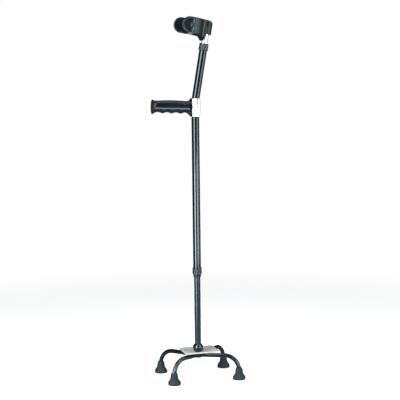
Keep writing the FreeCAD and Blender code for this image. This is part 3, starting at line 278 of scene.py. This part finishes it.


# Where a grained_plastic finish below has a last colour, that colour is a painted highlight laid on convex ridges.
FINISHES = {
    "gloss_black_tube": gloss_enamel(
        "gloss_black_enamel", (0.0010, 0.0020, 0.0032), (0.0022, 0.0036, 0.0054), 0.12),
    "hub_black": gloss_enamel(
        "gloss_black_moulding", (0.0012, 0.0018, 0.0026), (0.003, 0.004, 0.0055), 0.12),
    "dark_grey_tube": satin_metal(
        "dark_anodised", (0.028, 0.042, 0.049), (0.042, 0.060, 0.068), 0.20, metallic=0.85),
    "deck_grey": satin_metal(
        "deck_coating", (0.40, 0.42, 0.40), (0.50, 0.52, 0.50), 0.40, (1, 12, 1), 0.2),
    "tip_rubber": tip_rubber("tip_rubber"),
    "grip_moulding": grained_plastic(
        "grip_moulding", (0.0012, 0.0026, 0.0042), (0.0026, 0.0048, 0.0068), 0.19, 1300, 0.00001,
        (0.010, 0.014, 0.018)),
    "nut_plastic": grained_plastic(
        "nut_plastic", (0.006, 0.010, 0.013), (0.012, 0.018, 0.022), 0.24, 1900, 0.00001,
        (0.03, 0.037, 0.042)),
    "bushing_plastic": grained_plastic(
        "bushing_plastic", (0.006, 0.007, 0.009), (0.012, 0.014, 0.017), 0.5, 1500, 0.00004),
    "bright_aluminium": bright_post("bright_aluminium"),
    "cuff_charcoal": grained_plastic(
        "cuff_charcoal", (0.006, 0.0078, 0.0088), (0.012, 0.0145, 0.0155), 0.36, 1100, 0.00002,
        (0.026, 0.031, 0.034)),
    "cuff_black": grained_plastic(
        "cuff_black", (0.0012, 0.0026, 0.0042), (0.0035, 0.0062, 0.009), 0.24, 1500, 0.00001,
        (0.012, 0.017, 0.022)),
    "zinc_steel": zinc_plate("zinc_plate"),
    "black_steel": satin_metal(
        "black_oxide", (0.030, 0.033, 0.038), (0.060, 0.064, 0.070), 0.28, (1, 1, 1), 0.9),
}
HOUSING_FINISH = grained_plastic(
    "housing_gloss", (0.0012, 0.002, 0.0032), (0.003, 0.0042, 0.006), 0.16, 1700, 0.00001)


def coat_nodes():
    """Give every CAD node the finish of its material slot."""
    for name, node in frame["nodes"].items():
        node.data.materials.clear()
        node.data.materials.append(FINISHES[SLOT_OF[name]])


# ---------------------------------------------------------------- mesh helpers


def new_piece(name, bm, matrix, body, slot, replaced, finishes=None):
    """Make an object from a bmesh drawn in millimetres in a local frame."""
    bmesh.ops.recalc_face_normals(bm, faces=bm.faces[:])
    mesh = bpy.data.meshes.new(name)
    bm.to_mesh(mesh)
    bm.free()
    mesh.transform(matrix @ Matrix.Scale(MM, 4))
    mesh.shade_smooth()
    for finish in finishes or [FINISHES[slot]]:
        mesh.materials.append(finish)
    piece = bpy.data.objects.new(name, mesh)
    bpy.context.scene.collection.objects.link(piece)
    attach(piece, body)
    if replaced:
        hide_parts(*replaced)
    return piece


def skin(bm, rings, joined_ends=False):
    """Quads between successive closed rings of points, and from the last ring to the first."""
    rows = [[bm.verts.new(point) for point in ring] for ring in rings]
    count = len(rows[0])
    for first, second in zip(rows, rows[1:]):
        for i in range(count):
            j = (i + 1) % count
            bm.faces.new((first[i], first[j], second[j], second[i]))
    if joined_ends:
        first, last = rows[0], rows[-1]
        for i in range(count):
            j = (i + 1) % count
            bm.faces.new((last[i], last[j], first[j], first[i]))


def through(points, x):
    """A smooth curve through (x, y) points that doesn't overshoot between them."""
    if x <= points[0][0]:
        return points[0][1]
    slopes = [(b[1] - a[1]) / (b[0] - a[0]) for a, b in zip(points, points[1:])]
    for i, (a, b) in enumerate(zip(points, points[1:])):
        if x <= b[0]:
            before = slopes[i - 1] if i else slopes[i]
            after = slopes[i + 1] if i + 1 < len(slopes) else slopes[i]
            here = slopes[i]
            start = 0.0 if before * here <= 0 else 2 * before * here / (before + here)
            end = 0.0 if after * here <= 0 else 2 * after * here / (after + here)
            span = b[0] - a[0]
            t = (x - a[0]) / span
            return (a[1] * (1 + 2 * t) * (1 - t) ** 2 + b[1] * t * t * (3 - 2 * t)
                    + span * (start * t * (1 - t) ** 2 - end * t * t * (1 - t)))
    return points[-1][1]


def smooth_step(low, high, x):
    """From 0 at low to 1 at high, level at both ends."""
    t = min(1.0, max(0.0, (x - low) / (high - low)))
    return t * t * (3 - 2 * t)


# ---------------------------------------------------------------- hand grip

# Outlines in millimetres: distance out along the grip, and height above, depth below and half
# width off its middle line, before the oval's rounding.
GRIP_TILT = math.radians(2.3)
GRIP_LENGTH = 114.0
GRIP_TOP = [(0, 25.3), (1.6, 25.2), (3.2, 24.0), (5.2, 21.3), (9, 18.9), (15, 18.0), (30, 18.5),
            (57, 19.3), (85, 18.7), (99, 17.7), (105, 17.5), (109, 18.3), (112, 20.1), (114, 20.7)]
GRIP_UNDER = [(0, 25.3), (1.6, 25.1), (3.2, 23.9), (5.6, 21.4), (9.5, 19.2), (14, 18.3),
              (20, 17.9), (98, 17.7), (104, 16.9), (109, 17.8), (112, 19.9), (114, 20.7)]
GRIP_HALF = [(0, 16.5), (2, 16.5), (5, 15.9), (9, 15.5), (57, 15.9), (100, 15.5), (107, 15.8),
             (111.5, 17.6), (114, 18.5)]
FINGER_FIRST, FINGER_PITCH, FINGER_LAST, FINGER_DEPTH = 17.7, 26.4, 96.9, 3.3
OVAL_POWER = 0.86
GROOVE_PINCH = 0.05
BORE = 9.6
CAP_ROOM = 12.1


def finger_groove(out):
    """How deep the finger grooves cut at a distance along the grip: round dips, crisp ridges."""
    if not FINGER_FIRST - FINGER_PITCH / 2 < out < FINGER_LAST + FINGER_PITCH / 2:
        return 0.0
    phase = math.cos(math.pi * (out - FINGER_FIRST) / FINGER_PITCH) ** 2
    fade = smooth_step(3.0, 12.0, out) * (1 - smooth_step(102.0, 110.0, out))
    return FINGER_DEPTH * phase ** 0.8 * fade


def grip_ring(out, inset, angles):
    """One ring of the grip's skin, shrunk by inset."""
    above, below = through(GRIP_TOP, out) - inset, through(GRIP_UNDER, out) - inset
    groove = finger_groove(out)
    half = through(GRIP_HALF, out) - inset
    ring = []
    for angle, raised in angles:
        across, up = math.cos(angle), math.sin(angle)
        y = half * math.copysign(abs(across) ** OVAL_POWER, across)
        height = above if up > 0 else below - groove * smooth_step(0.0, 0.75, -up)
        z = height * math.copysign(abs(up) ** OVAL_POWER, up)
        if up < 0:
            y *= 1 + GROOVE_PINCH * groove / FINGER_DEPTH * up
        ring.append(Vector((-out, y, z + math.copysign(raised, up))))
    return ring


def round_ring(out, radius, angles):
    """One round ring at the same angles, for the bore and the cap's room."""
    return [Vector((-out, radius * math.cos(a), radius * math.sin(a))) for a, _ in angles]


def make_grip():
    """The moulded grip, flared at both ends, with finger grooves and its parting line."""
    count, seam, seam_half = 72, 0.16, 0.022
    angles = [(2 * math.pi * (i + 0.5) / count, 0.0) for i in range(count)]
    for centre in (math.pi / 2, 3 * math.pi / 2):
        angles += [(centre - 2 * seam_half, 0.0), (centre - seam_half / 2, seam),
                   (centre + seam_half / 2, seam), (centre + 2 * seam_half, 0.0)]
    angles.sort()
    stations = [0.5 * i for i in range(1, 24)] + [12.0 + i for i in range(90)]
    stations += [102 + 0.5 * i for i in range(23)]
    rings = [round_ring(0, BORE, angles), grip_ring(0, 1.6, angles), grip_ring(0.0, 0.5, angles),
             grip_ring(0.2, 0.12, angles)]
    rings += [grip_ring(out, 0.0, angles) for out in stations]
    rings += [grip_ring(GRIP_LENGTH - 0.5, 0.02, angles)]
    for depth, inset in ((0.15, 0.25), (0.0, 0.8), (0.05, 1.5), (0.5, 3.0), (0.9, 5.0)):
        ring = grip_ring(GRIP_LENGTH, inset, angles)
        rings.append([point + Vector((depth, 0, 0)) for point in ring])
    for depth, radius in ((1.1, CAP_ROOM + 0.5), (1.4, CAP_ROOM), (3.2, CAP_ROOM), (3.2, BORE)):
        ring = round_ring(GRIP_LENGTH, radius, angles)
        rings.append([point + Vector((depth, 0, 0)) for point in ring])
    bm = bmesh.new()
    skin(bm, rings, joined_ends=True)
    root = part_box("hand_grip")[1].x
    core_low, core_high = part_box("grip_core")
    middle = (core_low + core_high) / 2
    rise = (root - middle.x) * math.tan(GRIP_TILT)
    origin = Vector((root, middle.y, middle.z - rise))
    turn = Matrix.Translation(origin) @ Matrix.Rotation(GRIP_TILT, 4, "Y")
    return new_piece("grip_skin", bm, turn, "shaft", "grip_moulding", ["hand_grip"])


# ---------------------------------------------------------------- forearm cuff

CUFF_CENTRE, CUFF_RADIUS, CUFF_HALF_WALL = -58.0, 43.5, 1.5
CUFF_ARM, CUFF_MIDDLE, CUFF_HALF_HEIGHT = 26.8, 54.0, 22.5
# The band's section from the middle of its outer face round the flared edge to its inner face:
# distance from the outline, and offset outwards from the middle of the wall.
BAND_SECTION = [
    (22.5, 1.5), (20, 1.5), (17, 1.5), (14, 1.5), (11, 1.5), (8.5, 1.5), (6.6, 1.5), (5.4, 1.52),
    (4.6, 1.62), (3.9, 1.95), (3.3, 2.5), (2.7, 2.95), (2.0, 3.18), (1.3, 3.26), (0.7, 3.18),
    (0.3, 2.9), (0.06, 2.4), (0.0, 1.7), (0.02, 1.0), (0.2, 0.3), (0.6, -0.35), (1.2, -0.85),
    (2.0, -1.2), (3.0, -1.4), (4.4, -1.5), (6.4, -1.5), (9, -1.5), (12, -1.5), (15, -1.5),
    (18, -1.5), (20.5, -1.5), (22.5, -1.5),
]


def band_point(along, height, offset):
    """A point of the band, unrolled: along its middle line, above its middle, off its wall."""
    quarter = CUFF_RADIUS * math.pi / 2
    radius = CUFF_RADIUS + offset
    if abs(along) <= quarter:
        angle = along / CUFF_RADIUS
        return Vector((CUFF_CENTRE + radius * math.cos(angle), radius * math.sin(angle),
                       CUFF_MIDDLE + height))
    straight = abs(along) - quarter
    return Vector((CUFF_CENTRE - straight, math.copysign(radius, along), CUFF_MIDDLE + height))


def make_band():
    """The springy C-shaped band: its flared edge runs all round, over the rounded ends too."""
    total = 2 * CUFF_ARM + math.pi * CUFF_RADIUS
    straight = total / 2 - CUFF_HALF_HEIGHT
    steps, turns = 60, 22
    rings = []
    for inset, offset in BAND_SECTION:
        radius = CUFF_HALF_HEIGHT - inset
        ring = []
        for side in (1, -1):
            for i in range(steps):
                ring.append((side * straight * (2 * i / steps - 1), side * radius))
            for i in range(turns):
                angle = math.pi / 2 - math.pi * i / turns
                ring.append((side * (straight + radius * math.cos(angle)),
                             side * radius * math.sin(angle)))
        rings.append([band_point(u, v, offset) for u, v in ring])
    bm = bmesh.new()
    skin(bm, rings)
    bmesh.ops.remove_doubles(bm, verts=bm.verts[:], dist=0.01)
    return new_piece("cuff_band_skin", bm, ARM, "cuff", "cuff_black", ["cuff_band"])


# The parting groove, in the arm's frame: where it runs, its half width and depth, and its foot.
PARTING, GROOVE_HALF, GROOVE_DEPTH, GROOVE_FOOT = -15.0, 0.9, 0.45, 18.0
VOXEL, QUICK_VOXEL = 0.6, 0.9


def make_yoke():
    """The rear moulding, remeshed from its solid so that its edges and inner corners are soft,
    with a parting groove between the textured wings and the glossy post housing."""
    mesh = frame["nodes"]["cuff_yoke"].data.copy()
    mesh.transform(Matrix.Scale(1 / MM, 4) @ ARM.inverted())
    holder = bpy.data.objects.new("yoke_source", mesh)
    bpy.context.scene.collection.objects.link(holder)
    remesh = holder.modifiers.new("remesh", "REMESH")
    remesh.mode = "VOXEL"
    remesh.voxel_size = VOXEL
    soften = holder.modifiers.new("soften", "SMOOTH")
    soften.factor = 0.5
    soften.iterations = 9
    depsgraph = bpy.context.evaluated_depsgraph_get()
    bm = bmesh.new()
    bm.from_mesh(bpy.data.meshes.new_from_object(holder.evaluated_get(depsgraph)))
    bpy.data.objects.remove(holder)
    bm.normal_update()
    for vertex in bm.verts:
        away = abs(vertex.co.x - PARTING)
        if away < GROOVE_HALF and vertex.co.z > GROOVE_FOOT:
            vertex.co -= vertex.normal * GROOVE_DEPTH * (1 - (away / GROOVE_HALF) ** 2)
    for face in bm.faces:
        face.material_index = 1 if face.calc_center_median().x > PARTING else 0
    return new_piece("cuff_yoke_skin", bm, ARM, "cuff", "cuff_charcoal", ["cuff_yoke"],
                     [FINISHES["cuff_charcoal"], HOUSING_FINISH])


# ---------------------------------------------------------------- lock nuts


FLUTE_STEPS = 8
FLUTED_FROM = 10.5  # radius above which a ring is on the nut's outer wall


def make_nut(name, matrix, body, node, profile, zones, flutes):
    """A turned nut whose outer wall is fluted between the zones' heights."""
    count = flutes * FLUTE_STEPS
    rings = []
    for radius, height in profile:
        ring = []
        for i in range(count):
            angle = 2 * math.pi * i / count
            dip = 0.0
            for low, high, depth in zones:
                if low < height < high and radius > FLUTED_FROM:
                    ends = (smooth_step(low, low + 1.0, height)
                            * (1 - smooth_step(high - 1.0, high, height)))
                    wave = 0.5 - 0.5 * math.cos(2 * math.pi * i / FLUTE_STEPS)
                    dip += depth * ends * wave ** 1.6
            ring.append(Vector(((radius - dip) * math.cos(angle), (radius - dip) * math.sin(angle),
                                height)))
        rings.append(ring)
    bm = bmesh.new()
    skin(bm, rings, joined_ends=True)
    return new_piece(name, bm, matrix, body, "nut_plastic", [node])


def wall(radius_a, height_a, radius_b, height_b, steps):
    """Points evenly along a straight stretch of a profile."""
    return [(radius_a + (radius_b - radius_a) * i / steps,
             height_a + (height_b - height_a) * i / steps) for i in range(steps + 1)]


def make_nuts():
    """Both lock nuts, from outlines of (radius, height) points in millimetres."""
    lower = [(12.2, -12.6), (12.2, -13.55), (12.5, -13.6), (12.85, -13.45), (13.15, -13.1)]
    lower += wall(13.25, -12.7, 13.25, 3.8, 26)
    lower += [(13.2, 4.15), (13.0, 4.4), (12.7, 4.5), (12.0, 4.55), (11.7, 4.7), (11.58, 5.1)]
    lower += wall(11.5, 5.6, 10.75, 12.6, 10)
    lower += [(10.6, 13.1), (10.3, 13.55), (9.9, 13.78), (9.4, 13.75), (9.3, 13.5), (9.3, 11.9),
              (10.0, 11.8), (10.7, 2.4), (12.15, 2.2)]
    make_nut("lower_nut_skin", FOOT, "lower_nut", "lower_lock_nut", lower,
             [(-11.8, 3.0, 0.55), (5.6, 12.2, 0.25)], 20)
    upper = [(12.2, -7.4), (12.2, -8.15), (12.5, -8.2), (12.9, -8.05), (13.17, -7.7)]
    upper += wall(13.25, -7.3, 13.1, 9.4, 26)
    upper += [(13.0, 9.9), (12.75, 10.4), (12.3, 10.75), (11.6, 10.88), (10.6, 10.85),
              (9.9, 10.6), (9.4, 10.1), (9.3, 9.5), (9.3, 9.0), (10.0, 8.9), (10.7, 2.4),
              (12.15, 2.2)]
    make_nut("upper_nut_skin", ARM, "upper_nut", "upper_lock_nut", upper,
             [(-6.4, 8.2, 0.55)], 20)


# ---------------------------------------------------------------- edges of machined parts


def soften_edges(node, width, segments=2, limit=35):
    """Break a CAD node's sharp edges with a small bevel."""
    piece = frame["nodes"][node]
    weld = piece.modifiers.new("weld", "WELD")
    weld.merge_threshold = 1e-6
    bevel = piece.modifiers.new("bevel", "BEVEL")
    bevel.width = width * MM
    bevel.segments = segments
    bevel.limit_method = "ANGLE"
    bevel.angle_limit = math.radians(limit)
    bevel.harden_normals = True
    bevel.miter_outer = "MITER_ARC"


# ---------------------------------------------------------------- stage, light and camera

WHITE = (1.0, 1.0, 1.0)
FLOOR_RADIUS = 2.4
FLOOR_DROP = 0.0004  # keeps the floor just off the tips' lower faces


def make_floor():
    """A pale round floor that fades into the white surround and lights the object little."""
    bm = bmesh.new()
    bmesh.ops.create_circle(bm, cap_ends=True, radius=FLOOR_RADIUS, segments=128)
    mesh = bpy.data.meshes.new("floor")
    bm.to_mesh(mesh)
    bm.free()
    n = Nodes("pale_floor")
    seen = n.add("ShaderNodeLightPath").outputs["Is Camera Ray"]
    pale = n.ramp(n.noise(3, 3), [(0.3, 0.86), (0.7, 0.89)])
    n.set(Base_Color=n.mix(seen, (0.3, 0.3, 0.3), pale), Roughness=0.7, Specular_IOR_Level=0.2,
          Emission_Color=n.mix(seen, (0.0, 0.0, 0.0), WHITE), Emission_Strength=0.3)
    scaled = n.add("ShaderNodeVectorMath", operation="SCALE")
    scaled.inputs["Scale"].default_value = 1 / FLOOR_RADIUS
    n.link(n.place, scaled.inputs[0])
    away = n.add("ShaderNodeVectorMath", operation="LENGTH")
    n.link(scaled.outputs["Vector"], away.inputs[0])
    fade = n.ramp(away.outputs["Value"], [(0.28, 0.0), (0.75, 1.0)])
    clear = n.add("ShaderNodeBsdfTransparent")
    both = n.add("ShaderNodeMixShader")
    n.link(fade, both.inputs[0])
    n.link(n.shader.outputs["BSDF"], both.inputs[1])
    n.link(clear.outputs["BSDF"], both.inputs[2])
    output = next(node for node in n.tree.nodes if node.type == "OUTPUT_MATERIAL")
    n.link(both.outputs["Shader"], output.inputs["Surface"])
    mesh.materials.append(n.material)
    floor = bpy.data.objects.new("floor", mesh)
    bpy.context.scene.collection.objects.link(floor)
    floor.location.z = -FLOOR_DROP


def make_world():
    """White where the camera sees it, and a dim studio where it lights the object."""
    world = bpy.data.worlds.new("studio")
    bpy.context.scene.world = world
    world.use_nodes = True
    tree = world.node_tree
    tree.nodes.clear()
    seen = tree.nodes.new("ShaderNodeBackground")
    seen.inputs["Color"].default_value = (*WHITE, 1.0)
    seen.inputs["Strength"].default_value = 1.0
    room = tree.nodes.new("ShaderNodeBackground")
    room.inputs["Color"].default_value = (0.92, 0.96, 1.0, 1.0)
    room.inputs["Strength"].default_value = 0.09
    path = tree.nodes.new("ShaderNodeLightPath")
    both = tree.nodes.new("ShaderNodeMixShader")
    output = tree.nodes.new("ShaderNodeOutputWorld")
    tree.links.new(path.outputs["Is Camera Ray"], both.inputs[0])
    tree.links.new(room.outputs[0], both.inputs[1])
    tree.links.new(seen.outputs[0], both.inputs[2])
    tree.links.new(both.outputs[0], output.inputs["Surface"])


def softbox(name, spot, target, size, power, colour=WHITE):
    """A rectangular light of (width, height) metres and so many watts, facing its target."""
    light = bpy.data.lights.new(name, "AREA")
    light.shape = "RECTANGLE"
    light.size, light.size_y = size
    light.energy = power
    light.color = colour
    item = bpy.data.objects.new(name, light)
    bpy.context.scene.collection.objects.link(item)
    item.location = spot
    item.rotation_mode = "QUATERNION"
    item.rotation_quaternion = (Vector(target) - Vector(spot)).to_track_quat("-Z", "Y")


# The camera fitted to the photograph: where it stands, and its right and up directions.
CAMERA_SPOT = Vector((-0.9981, -3.4458, 0.9379))
CAMERA_RIGHT = Vector((0.95872, -0.28413, -0.01136))
CAMERA_UP = Vector((0.04387, 0.10830, 0.99315))
CAMERA_LENS = 113.0


def make_camera():
    data = bpy.data.cameras.new("camera")
    data.lens = CAMERA_LENS
    data.sensor_width = 36.0
    camera = bpy.data.objects.new("camera", data)
    bpy.context.scene.collection.objects.link(camera)
    back = CAMERA_RIGHT.cross(CAMERA_UP).normalized()
    camera.matrix_world = frame_of(CAMERA_SPOT, CAMERA_RIGHT, CAMERA_UP, back)
    bpy.context.scene.camera = camera


def around(degrees, distance, height):
    """A place round the object: degrees to the right of the camera's side, seen by the camera."""
    towards = Vector((CAMERA_SPOT.x, CAMERA_SPOT.y, 0)).normalized()
    right = Vector((-towards.y, towards.x, 0))
    turn = math.radians(degrees)
    spot = towards * math.cos(turn) * distance + right * math.sin(turn) * distance
    return (spot.x, spot.y, height)


def make_lights():
    softbox("key_left", around(-36, 1.4, 1.0), (0, 0, 0.62), (0.8, 2.0), 58, (0.90, 0.96, 1.0))
    softbox("rim_right", around(70, 1.6, 1.0), (0, 0, 0.62), (1.3, 2.0), 19)
    softbox("strip_right", around(51, 1.4, 1.0), (0, 0, 0.62), (0.18, 2.0), 15)
    softbox("low_front", around(31, 1.5, 0.30), (0, 0, 0.7), (0.7, 0.45), 9, (0.95, 0.98, 1.0))
    softbox("low_left", around(-38, 0.8, 0.27), (0, 0, 0.2), (0.36, 0.52), 5, (0.90, 0.96, 1.0))
    softbox("top", (0.0, -0.2, 3.0), (0, 0, 0.4), (2.0, 2.0), 26)


coat_nodes()
make_grip()
make_band()
make_yoke()
make_nuts()
for node, width in (("grip_bracket", 0.5), ("base_bolt", 0.3), ("base_washer", 0.25)):
    soften_edges(node, width)
make_floor()
make_world()
make_lights()
make_camera()
bpy.context.scene.view_settings.view_transform = "Standard"
